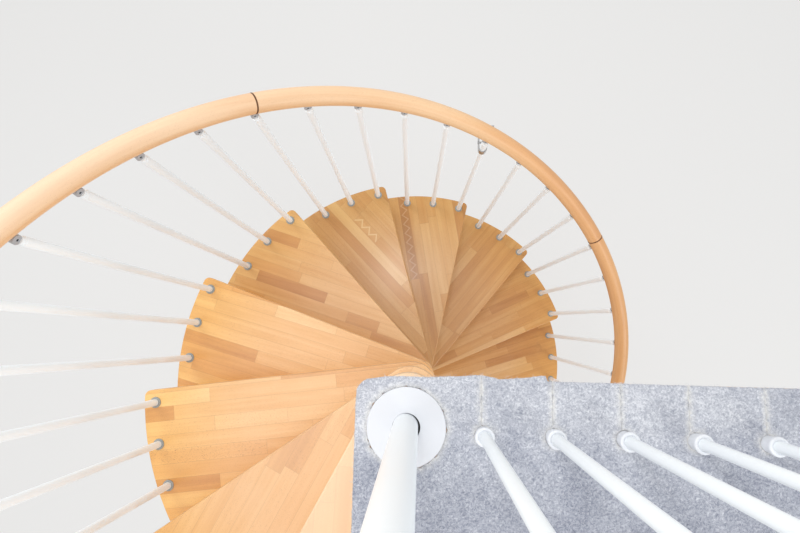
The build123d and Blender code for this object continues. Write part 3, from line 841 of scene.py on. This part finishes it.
straight_low, straight_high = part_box("landing_rail")
straight_line = (straight_low.y + straight_high.y) / 2
straight_level = (straight_low.z + straight_high.z) / 2
caps = [(rail_frame(rail_start), -1, 19.0), (rail_frame(rail_end), 1, 21.0)]
caps += [(straight_frame(straight_low.x), -1, 24.0), (straight_frame(straight_high.x), 1, 26.0)]
rail_piece("rail_caps", "rail_end_caps", [dome_stations(*cap) for cap in caps])
straight = []
for step in range(STRAIGHT_STEPS + 1):
    x = straight_low.x + (straight_high.x - straight_low.x) * step / STRAIGHT_STEPS
    straight.append((*straight_frame(x)[:3], RAIL_RADIUS, 30.0 + x))
rail_piece("landing_rail_bar", "landing_rail", [straight])


# Balusters, collars and caps

def joint_centre(angle):
    """Middle of the swivel joint of a baluster whose foot stands in one direction."""
    joint_angle = angle - JOINT_LAG
    return polar(CIRCLE, joint_angle, rail_level(joint_angle) - RAIL_HEIGHT + BARREL_HEIGHT)


def leaning_bar(angle, foot, tread_top):
    """Bar that is upright in the timber and leans from its collar to its joint."""
    knee = polar(CIRCLE, angle, tread_top + COLLAR)
    low = polar(CIRCLE, angle, foot)
    high = joint_centre(angle) - Vector((0, 0, JOINT_DROP))
    edge = 0.8 * MM
    rise = Vector((0, 0, edge))
    stations = [(low, 0.0), (low, BALUSTER - edge), (low + rise, BALUSTER), (knee, BALUSTER)]
    stations += [(knee.lerp(high, step / 6), BALUSTER) for step in range(1, 6)]
    stations += [(high - rise, BALUSTER), (high, BALUSTER - edge), (high, 0.0)]
    shape = lathe([(radius, centre.z, 0) for centre, radius in stations], 40, unit=1)
    centres = {round(centre.z, 6): centre for centre, radius in stations}
    for vertex in shape.verts:
        centre = centres[round(vertex.z, 6)]
        vertex.x += centre.x
        vertex.y += centre.y
    return shape


def swivel(slope):
    """Swivel joint with X outward: plug, barrel with a socket screw in its inner face, and saddle stem."""
    plug = [(0, -16, 0), (9.4, -16, 0.5), (9.4, -13.6, 0.5), (7.6, -12.6, 0.3), (7.6, -6, 0), (0, -6, 0)]
    barrel = lathe([(0, -1.8, 0), (2.3, -1.8, 0), (2.3, -3.4, 0.2), (2.9, -4, 0.2), (9.8, -4, 1.2),
                    (9.8, 7.6, 0.3), (9.2, 8, 0), (9.2, 8.6, 0), (9.8, 9, 0.3), (9.8, 19, 1.2),
                    (0, 19, 0)], 40)
    # The socket's hollow takes the second look, painted shade
    for index, face in enumerate(barrel.faces):
        if all(barrel.verts[i].xy.length < 2.4 * MM and barrel.verts[i].z < -1.5 * MM for i in face):
            barrel.slots[index] = 1
    stem = lathe([(0, 0, 0), (5, 0, 0), (5, 10.9, 0.3), (0, 10.9, 0)], 28)
    tilt = Vector((0, 0, 1)).rotation_difference(Vector((0, -slope, 1)).normalized()).to_matrix().to_4x4()
    joint = Shape().add(lathe(plug, 28, slot=2)).add(barrel, Matrix.Rotation(pi / 2, 4, "Y"))
    return joint.add(stem, moved(RAIL_OUTSET, 0) @ tilt)


collar = lathe([(10.1, 0, 0), (16, 0, 0.3), (16, 2.6, 1.2), (12.4, 4, 0.8), (10.1, 3.7, 0.2)], 40,
               closed=True)
cap = lathe([(0, -6, 0), (12, -6, 2), (16, -0.6, 0.5), (16, 0, 0), (0, 0, 0)], 36)
rail_swivel = swivel(SLOPE)
level_swivel = swivel(0.0)
long_bars, short_bars, collars, bar_caps, swivels = (Shape() for piece in range(5))


def add_baluster(whole, angle, foot, tread_top):
    whole.add(leaning_bar(angle, foot, tread_top))
    swivels.add(rail_swivel, moved(*joint_centre(angle), angle - JOINT_LAG))
    x, y, _ = polar(CIRCLE, angle)
    collars.add(collar, moved(x, y, tread_top))
    if foot > THICKNESS:
        bar_caps.add(cap, moved(x, y, foot))


for number in range(1, TREADS + 2):
    angle = FIRST + (number - 1) * TURN
    x, y, _ = polar(CIRCLE, angle)
    foot = FOOT_PLATE if number == 1 else (number - 1) * RISE - THICKNESS
    add_baluster(long_bars, angle, foot, number * RISE)
    if number > 1:
        collars.add(collar, moved(x, y, (number - 1) * RISE))
    if number <= TREADS:
        for step in (1, 2):
            add_baluster(short_bars, angle + step / 3 * TURN, number * RISE - THICKNESS, number * RISE)

finish(long_bars, "balusters_long", "white_steel", "long_balusters")
finish(short_bars, "balusters_short", "white_steel", "short_balusters")
finish(collars, "baluster_collars", "grey_plastic", "tread_collars")
finish(bar_caps, "baluster_caps", "grey_plastic", "tread_caps")
finish(swivels, "rail_swivels", "grey_metal", "rail_joints", looks=[GREY_METAL, SOCKET_SHADE, WHITE])

# Column and its foot

lows = [BASE_THICKNESS] + [number * RISE for number in range(1, TREADS + 1)]
highs = [number * RISE - THICKNESS for number in range(1, TREADS + 1)] + [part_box("landing_bearer")[0].z]
end_ring = lathe([(19.6, 0, 0), (62, 0, 0.6), (62, 4, 2.2), (58.5, 7, 1), (19.6, 7, 0)], 72, closed=True)
spacers, end_rings = Shape(), Shape()
for low, high in zip(lows, highs):
    inner, bottom, top = SPACER - 4 * MM, low + RING_HEIGHT, high - RING_HEIGHT
    corners = [(inner, bottom, 0), (SPACER, bottom, 0.6 * MM), (SPACER, top, 0.6 * MM), (inner, top, 0)]
    spacers.add(lathe(corners, 72, closed=True, unit=1))
    end_rings.add(end_ring, moved(0, 0, low))
    end_rings.add(end_ring, moved(0, 0, high) @ Matrix.Rotation(pi, 4, "X"))
finish(spacers, "spacer_tubes", "white_steel", "column_spacers")
finish(end_rings, "spacer_end_rings", "white_plastic", "spacer_rings")

washer = lathe([(6.2, 0, 0), (12, 0, 0.4), (12, 2, 0.4), (6.2, 2, 0.4)], 32, closed=True, steps=3)
bolt_head = lathe([(0, 2, 0), (10, 2, 0.5), (10, 9, 1), (0, 9, 0)], 6)
bolts = Shape()
for index in range(4):
    x, y, _ = polar(BOLT_CIRCLE, radians(45 + 90 * index))
    bolts.add(washer, moved(x, y, BASE_THICKNESS))
    bolts.add(bolt_head, moved(x, y, BASE_THICKNESS, 0.4 * index))
foot = lathe([(0, 0, 0), (140, 0, 0.5), (140, 12, 2), (30, 12, 2), (27.4, 46, 1), (19.4, 46, 0)], 96)
finish(foot, "column_foot", "white_steel", "base_flange")
finish(bolts, "floor_bolts", "bare_steel", crease=30)

x, y, _ = polar(CIRCLE, FIRST)
foot_plate = lathe([(0, 0, 0), (28, 0, 0.4), (28, 8, 2), (0, 8, 0)], 48)
finish(Shape().add(foot_plate, moved(x, y)), "first_baluster_foot", "white_steel", "baluster_foot")

# Landing fittings

landing_places = [(LANDING_FIRST + index * LANDING_PITCH, LANDING_LINE) for index in range(LANDING_COUNT)]
sleeve_top = (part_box("landing_collars")[1].z - PANEL_TOP) / MM
shoulder = sleeve_top - 8
sleeve = lathe([(10.1, 0, 0), (14, 0, 0.4), (14, shoulder, 0), (16.5, shoulder, 1.4),
                (16.5, sleeve_top, 2.2), (12.2, sleeve_top, 0.5), (11.4, sleeve_top - 1.2, 0),
                (10.1, sleeve_top - 1.4, 0)], 48, closed=True)
landing_bar = bar(BALUSTER, panel_low.z, LANDING_BARREL - JOINT_DROP, 0.8 * MM, 48)
landing_bars, sleeves, landing_caps, level_swivels = (Shape() for piece in range(4))
for x, y in landing_places:
    landing_bars.add(landing_bar, moved(x, y))
    sleeves.add(sleeve, moved(x, y, PANEL_TOP))
    landing_caps.add(cap, moved(x, y, panel_low.z))
    level_swivels.add(level_swivel, moved(x, y, LANDING_BARREL, pi / 2))
level_swivels.add(level_swivel, moved(0, straight_line + RAIL_OUTSET, LANDING_BARREL, -pi / 2))
finish(landing_bars, "landing_bars", "white_steel", "landing_balusters")
finish(sleeves, "landing_sleeves", "white_plastic", "landing_collars")
finish(landing_caps, "landing_bar_caps", "grey_plastic", "landing_caps")
finish(level_swivels, "landing_swivels", "grey_metal", "landing_joints", looks=[GREY_METAL, SOCKET_SHADE, WHITE])

post_low, post_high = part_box("landing_post")
post_length = (post_high.z - post_low.z) / MM
post = lathe([(0, 0, 0), (22, 0, 0.3), (22, post_length, 1.2), (0, post_length, 0)], 72)
finish(Shape().add(post, moved(0, 0, post_low.z)), "post_tube", "white_steel", "landing_post")

# Disc that sits a little to one side of the post, so that a dark gap shows there
disc_low, disc_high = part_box("landing_disc")
DISC_X, DISC_Y = 1.6 * MM, -1.6 * MM
deep = (disc_high.z - disc_low.z) / MM
disc = lathe([(24.4, 0, 0), (69, 0, 0.2), (69, deep, 1.2), (24.4, deep, 0.5)], 120, closed=True)
finish(Shape().add(disc, moved(DISC_X, DISC_Y, disc_low.z)), "post_disc", "white_steel", "landing_disc",
       looks=[DISC_WHITE_SHADED])
# A black ring under the disc, painted shade, which shows dark in the gap and the tears round the disc
shade_ring = lathe([(22.1, 0, 0), (27.5, 0, 0.3), (27.5, 1.2, 0.3), (22.1, 1.2, 0.3)], 72, closed=True, steps=3)
finish(Shape().add(shade_ring, moved(0, 0, disc_low.z)), "post_shade_ring", "dark_plastic", looks=[PAINTED_SHADE_BLACK])

# Felt carpet

# Cut edge of the felt along the well, in millimetres, with the places where it hangs over
WELL_CUT = [(-120, 82), (-40, 84), (-11, 85.2), (36, 84.8), (80, 87.5), (129, 90.4), (150, 87.6),
            (164, 84.6), (198, 87.2), (241, 92.4), (244.5, 92), (246.5, 83.2), (336, 83), (421, 82.8),
            (539, 82.6), (900, 82.4)]

# How far each slit lies beside its bar, in millimetres
SLIT_SHIFT = (-3.5, -1.0, -4.5, -10.0, -2.0, -3.0)
SLIT_OPENING = 0.12 * MM
SLIT_STEPS, DISC_STEPS, BAR_STEPS = 18, 150, 28
SLEEVE_HOLE = 14.2 * MM
UNEVEN = (-0.3, 0.3)
FIBRES = 20000
CUT_FIBRES = 0.42

# Places where the cut round the disc was torn wider: direction, depth in millimetres and width in degrees
TEARS = [(92, 3, 3), (72, 2.2, 5), (127, 2.6, 3), (148, 2.8, 5), (200, 3, 3), (210, 3.6, 5), (25, 2.4, 4),
         (-3, 3.2, 5), (-42, 3, 5), (-55, 2.6, 4), (-68, 3.4, 6), (-110, 2.4, 5)]


def ragged(value, size=0.5 * MM, scale=170.0):
    """Small wander of a cut."""
    fine = noise.noise(Vector((value * scale * 3.3, 8.2, 1.9)))
    return size * noise.noise(Vector((value * scale, 3.1, 0.7))) + 0.6 * size * fine


def well(x):
    """Y of the wavy cut along the stair well, read from the photograph."""
    for (x0, y0), (x1, y1) in zip(WELL_CUT, WELL_CUT[1:]):
        if x0 * MM <= x < x1 * MM:
            share = (x / MM - x0) / (x1 - x0)
            share = share * share * (3 - 2 * share)
            return (y0 + (y1 - y0) * share) * MM + ragged(x, 0.7 * MM)
    return WELL_CUT[-1][1] * MM


def round_cut(x, y, angles, reach, cut):
    """Points round a place, at the distance that reach gives for each direction."""
    return [(x + reach(angle) * cos(angle), y + reach(angle) * sin(angle), cut) for angle in angles]


def slit_outline(slit, centre):
    """Down one side of a slit, round its sleeve and up the other side."""
    depth = well(slit) - LANDING_LINE
    heights = [LANDING_LINE + depth * (1 - i / SLIT_STEPS) for i in range(SLIT_STEPS)]
    heights = [y for y in heights if y > LANDING_LINE + SLEEVE_HOLE]

    def side(opening):
        return [(slit + opening + ragged(y + centre * 3, 0.8 * MM, 70), y, 1.0) for y in heights]

    def reach(angle):
        wander = ragged(angle + centre * 40, 0.5 * MM, 2.2) + ragged(angle + centre, 0.2 * MM, 9)
        return SLEEVE_HOLE + abs(wander)

    angles = [pi / 2 - tau * i / 36 for i in range(1, 36)]
    hole = round_cut(centre, LANDING_LINE, angles, reach, 1.0)
    return side(SLIT_OPENING) + hole + side(-SLIT_OPENING)[::-1]


def disc_reach(angle):
    """Radius of the cut round the disc in one direction."""
    reach = DISC + 0.2 * MM + abs(ragged(angle, 0.6 * MM, 6) + ragged(angle, 0.3 * MM, 31))
    for centre, depth, width in TEARS:
        away = (degrees(angle) - centre + 180) % 360 - 180
        reach += depth * MM * exp(-(away / width * 1.6) ** 2)
    return reach


def bar_reach(angle):
    """Radius of the cut round the last baluster in one direction."""
    return BALUSTER + 1.2 * MM + abs(ragged(angle, 0.6 * MM, 4))


def carpet_loops():
    """Cut outline of the felt as points of (x, y, share of cut felt), and its two closed holes."""
    low, high = carpet_low, carpet_high
    pitch = 4 * MM
    cut_corner = 50 * MM
    outline = []
    for i in range(int((high.y - cut_corner - low.y) / pitch)):
        y = high.y - cut_corner - i * pitch
        outline.append((low.x + 1.2 * MM + ragged(y), y, 0.0))
    for i in range(int((high.x - low.x) / pitch)):
        x = low.x + 2 * MM + i * pitch
        outline.append((x, low.y + 1.5 * MM + ragged(x), 0.0))
    for i in range(1, int((high.y - low.y) / pitch)):
        y = low.y + i * pitch
        outline.append((high.x - 1.5 * MM + ragged(y + 5), y, 0.0))

    # Along the well from right to left
    slits = sorted((place[0] + shift * MM, place[0]) for place, shift in zip(landing_places, SLIT_SHIFT))
    stop = low.x + cut_corner
    x = high.x - 3 * MM
    while x > stop:
        if slits and x < slits[-1][0] + 1.6 * MM:
            slit, centre = slits.pop()
            outline += slit_outline(slit, centre)
            x = slit - 3.2 * MM
        else:
            outline.append((x, well(x), 0.0))
            x -= pitch

    # Corner at the column, cut a little inside the panel's round
    corner = rounded([(stop + 1 * MM, well(stop), 0), (low.x + 16 * MM, high.y - 6 * MM, 18 * MM),
                      (low.x + 3 * MM, high.y - 20 * MM, 14 * MM),
                      (low.x + 1.2 * MM, high.y - cut_corner + 4 * MM, 0)], steps=7)
    for x, y in corner:
        outline.append((x + ragged(x + y, 0.6 * MM, 260), y + ragged(x - y, 0.6 * MM, 260), 0.0))

    x, y, _ = polar(CIRCLE, FIRST + TREADS * TURN)
    return [outline, round_cut(DISC_X, DISC_Y, compass(DISC_STEPS), disc_reach, 0.95),
            round_cut(x, y, compass(BAR_STEPS), bar_reach, 0.6)]


felt_loops = carpet_loops()
felt_sides = [side for loop in felt_loops for side in zip(loop[-1:] + loop[:-1], loop)]


def on_felt(x, y):
    """True for a point in the outline and outside the holes."""
    crossings = 0
    for (x0, y0, _), (x1, y1, _) in felt_sides:
        if (y0 > y) != (y1 > y) and x < x0 + (y - y0) / (y1 - y0) * (x1 - x0):
            crossings += 1
    return crossings % 2 == 1


def felt_spots():
    """Points of the felt as (place, drop of the top, share of cut felt), and the edges along its cuts."""
    spots, edges = [], []
    for loop in felt_loops:
        base = len(spots)
        spots += [(Vector((x, y)), (2.6 if cut < 0.9 else 1.0) * MM, cut) for x, y, cut in loop]
        edges += [(base + i, base + (i + 1) % len(loop)) for i in range(len(loop))]

    # Three rows of points beside every cut, which round its edge; all loops run counterclockwise
    for loop in felt_loops:
        inward = 1 if loop is felt_loops[0] else -1
        for i, (x, y, cut) in enumerate(loop):
            direction = Vector(loop[(i + 1) % len(loop)][:2]) - Vector(loop[i - 1][:2])
            if direction.length < 1e-6:
                continue
            direction.normalize()
            side = Vector((-direction.y, direction.x)) * inward
            for distance, drop, share in ((0.9, 0.8, 0.8), (2.6, 0.0, 0.5), (6.0, 0.0, 0.25)):
                spot = Vector((x, y)) + side * distance * MM
                if on_felt(spot.x, spot.y):
                    spots.append((spot, drop * MM, cut * share))

    # Uneven grid over the rest
    chance = random.Random(5)
    pitch = 9 * MM
    y = carpet_low.y + pitch
    while y < carpet_high.y:
        x = carpet_low.x + pitch
        while x < carpet_high.x:
            spot = Vector((x + chance.uniform(*UNEVEN) * pitch, y + chance.uniform(*UNEVEN) * pitch))
            if on_felt(spot.x, spot.y) and spot.length > DISC + 6 * MM:
                spots.append((spot, 0.0, 0.0))
            x += pitch
        y += pitch
    return spots, edges


def build_carpet():
    """Felt as one closed sheet: triangulated top and underside, softly rounded at every cut."""
    spots, edges = felt_spots()
    result = geometry.delaunay_2d_cdt([spot[0] for spot in spots], edges, [], 0, 1e-7)
    verts, faces, origins = result[0], result[2], result[3]
    drops = [max([spots[i][1] for i in source], default=spots[0][1]) for source in origins]
    cuts = [max([spots[i][2] for i in source], default=0.0) for source in origins]
    kept = []
    for face in faces:
        middle = sum((verts[i] for i in face), Vector((0, 0))) / 3
        if on_felt(middle.x, middle.y):
            kept.append(face)
    used = sorted({i for face in kept for i in face})
    number = {old: new for new, old in enumerate(used)}
    total = len(used)
    shape = Shape()
    for old in used:
        x, y = verts[old]
        swell = 0.45 * MM * noise.noise(Vector((x * 9, y * 9, 2.0)))
        swell += 0.3 * MM * noise.noise(Vector((x * 70, y * 70, 5.0)))
        shape.verts.append(Vector((x, y, carpet_high.z - 0.5 * MM - drops[old] + swell)))
    shape.verts += [Vector((*verts[old], carpet_low.z + 0.05 * MM)) for old in used]
    sides = {}
    for a, b, c in kept:
        if (verts[b] - verts[a]).cross(verts[c] - verts[a]) < 0:
            a, c = c, a
        face = [number[i] for i in (a, b, c)]
        shape.faces += [face, [i + total for i in reversed(face)]]
        for i in range(3):
            sides[(face[i], face[(i + 1) % 3])] = True
    shape.faces += [[b, a, a + total, b + total] for a, b in sides if (b, a) not in sides]
    piece = shape.object("felt_sheet", [LOOKS["grey_felt"]], 70)
    shares = [cuts[old] for old in used]
    piece.data.attributes.new("cut", "FLOAT", "POINT").data.foreach_set("value", shares + shares)
    return piece


def build_fibres(count, seed):
    """Loose fibres that stand off the felt's surface and out of its cut edges."""
    chance = random.Random(seed)
    cut_sides = [side for side in felt_sides for repeat in range(6 if side[1][2] > 0.5 else 1)]
    shape = Shape()
    made = 0
    while made < count:
        at_cut = chance.random() < CUT_FIBRES
        if at_cut:
            a, b = chance.choice(cut_sides)
            share = chance.random()
            x = a[0] + (b[0] - a[0]) * share + chance.gauss(0, 1.3) * MM
            y = a[1] + (b[1] - a[1]) * share + chance.gauss(0, 1.3) * MM
            level = carpet_high.z - chance.uniform(0.4, 3.2) * MM
            lift = chance.uniform(0.0, 1.4) * MM
        else:
            x = chance.uniform(carpet_low.x, carpet_high.x)
            y = chance.uniform(carpet_low.y, carpet_high.y)
            if not on_felt(x, y):
                continue
            level = carpet_high.z - 1.1 * MM
            lift = chance.uniform(0.7, 1.9) * MM
        made += 1
        angle = chance.uniform(0, tau)
        length = chance.uniform(2.2, 6.0) * MM
        curl = chance.uniform(-1.4, 1.4)
        half = chance.uniform(0.05, 0.1) * MM * (1.8 if at_cut else 1.0)
        base = len(shape.verts)
        for step in range(4):
            share = step / 3
            heading = angle + curl * share
            centre = Vector((x, y, level)) + polar(1, heading) * length * share
            centre.z += lift * sin(pi * share * 0.8)
            side = Vector((-sin(heading), cos(heading), 0)) * half
            shape.verts += [centre - side, centre + side] if step < 3 else [centre]
        shape.faces += [[base, base + 1, base + 3, base + 2], [base + 2, base + 3, base + 5, base + 4],
                        [base + 4, base + 5, base + 6]]
    return shape


carpet = build_carpet()
settle(carpet, "grey_felt", "landing_carpet")
fibre_look = Look("felt_fibre")
tone = fibre_look.noise(fibre_look.place(), 130.0)
fibre_look.set(Base_Color=fibre_look.ramp(tone, (0.3, 150, 154, 164), (0.7, 238, 238, 240)), Roughness=0.8)
fibres = build_fibres(FIBRES, 11).object("felt_fuzz", [fibre_look.owner], 0)
settle(fibres, "grey_felt")

# Floor and light

FLOOR_REACH, FLOOR_LEVEL = 30, -0.5 * MM
floor_mesh = bpy.data.meshes.new("studio_floor")
floor_mesh.from_pydata([(x * FLOOR_REACH, y * FLOOR_REACH, FLOOR_LEVEL)
                        for x, y in ((-1, -1), (1, -1), (1, 1), (-1, 1))], [], [[0, 1, 2, 3]])
floor = link("studio_floor", floor_mesh)
floor_look = Look("studio_floor")
floor_look.set(Base_Color=srgb(240, 240, 239), Roughness=0.9, Specular_IOR_Level=0.1)
glow = floor_look.node("Emission", {"Color": (1.0, 0.99, 0.98, 1), "Strength": 0.76})
surface = Value(floor_look, floor_look.nodes["Principled BSDF"].outputs[0])
blend = floor_look.node("MixShader", {0: floor_look.seen() * 0.55, 1: surface, 2: glow})
floor_look.set("Material Output", Surface=blend)
floor_mesh.materials.append(floor_look.owner)

sky = Look("studio", "worlds")
bpy.context.scene.world = sky.owner
sky.set("Background", Strength=0.84, Color=(1.0, 1.0, 1.0, 1))
plain = Value(sky, sky.nodes["Background"].outputs[0])
shown = sky.node("Background", {"Color": srgb(235, 234, 233)})
sky.set("World Output", Surface=sky.node("MixShader", {0: sky.seen(), 1: plain, 2: shown}))

# Lamps: name, place, aim, size, power and colour
LAMPS = [
    ("window", (-2.8, 2.8, 5.6), (0.0, 0.0, 2.6), 2.0, 54, (1, 1, 1)),
    ("fill", (4.0, -3.0, 4.2), (0.0, 0.0, 2.4), 2.5, 82, (0.92, 0.97, 1.0)),
    ("ceiling", (-1.35, -0.6, 6.0), (-0.4, -0.1, 2.5), 2.0, 22, (1, 1, 1)),
    ("glare", (-0.25, 0.84, 5.6), (0.0, 0.45, 1.9), 0.35, 12, (1, 1, 1)),
]
for name, place, aim, size, power, colour in LAMPS:
    light = bpy.data.lights.new(name, "AREA")
    light.shape = "SQUARE"
    light.size = size
    light.energy = power
    light.color = colour
    lamp = link(name, light)
    lamp.location = place
    lamp.rotation_euler = (Vector(aim) - Vector(place)).to_track_quat("-Z", "Y").to_euler()

# Camera

camera_data = bpy.data.cameras.new("camera")
camera_data.sensor_width = 36
camera_data.lens = CAMERA_LENS
camera_data.clip_start = 0.02
camera = link("camera", camera_data)
camera.location = CAMERA_PLACE
camera.rotation_euler = [radians(angle) for angle in CAMERA_TILT]
bpy.context.scene.camera = camera

bpy.context.scene.view_settings.view_transform = "Standard"
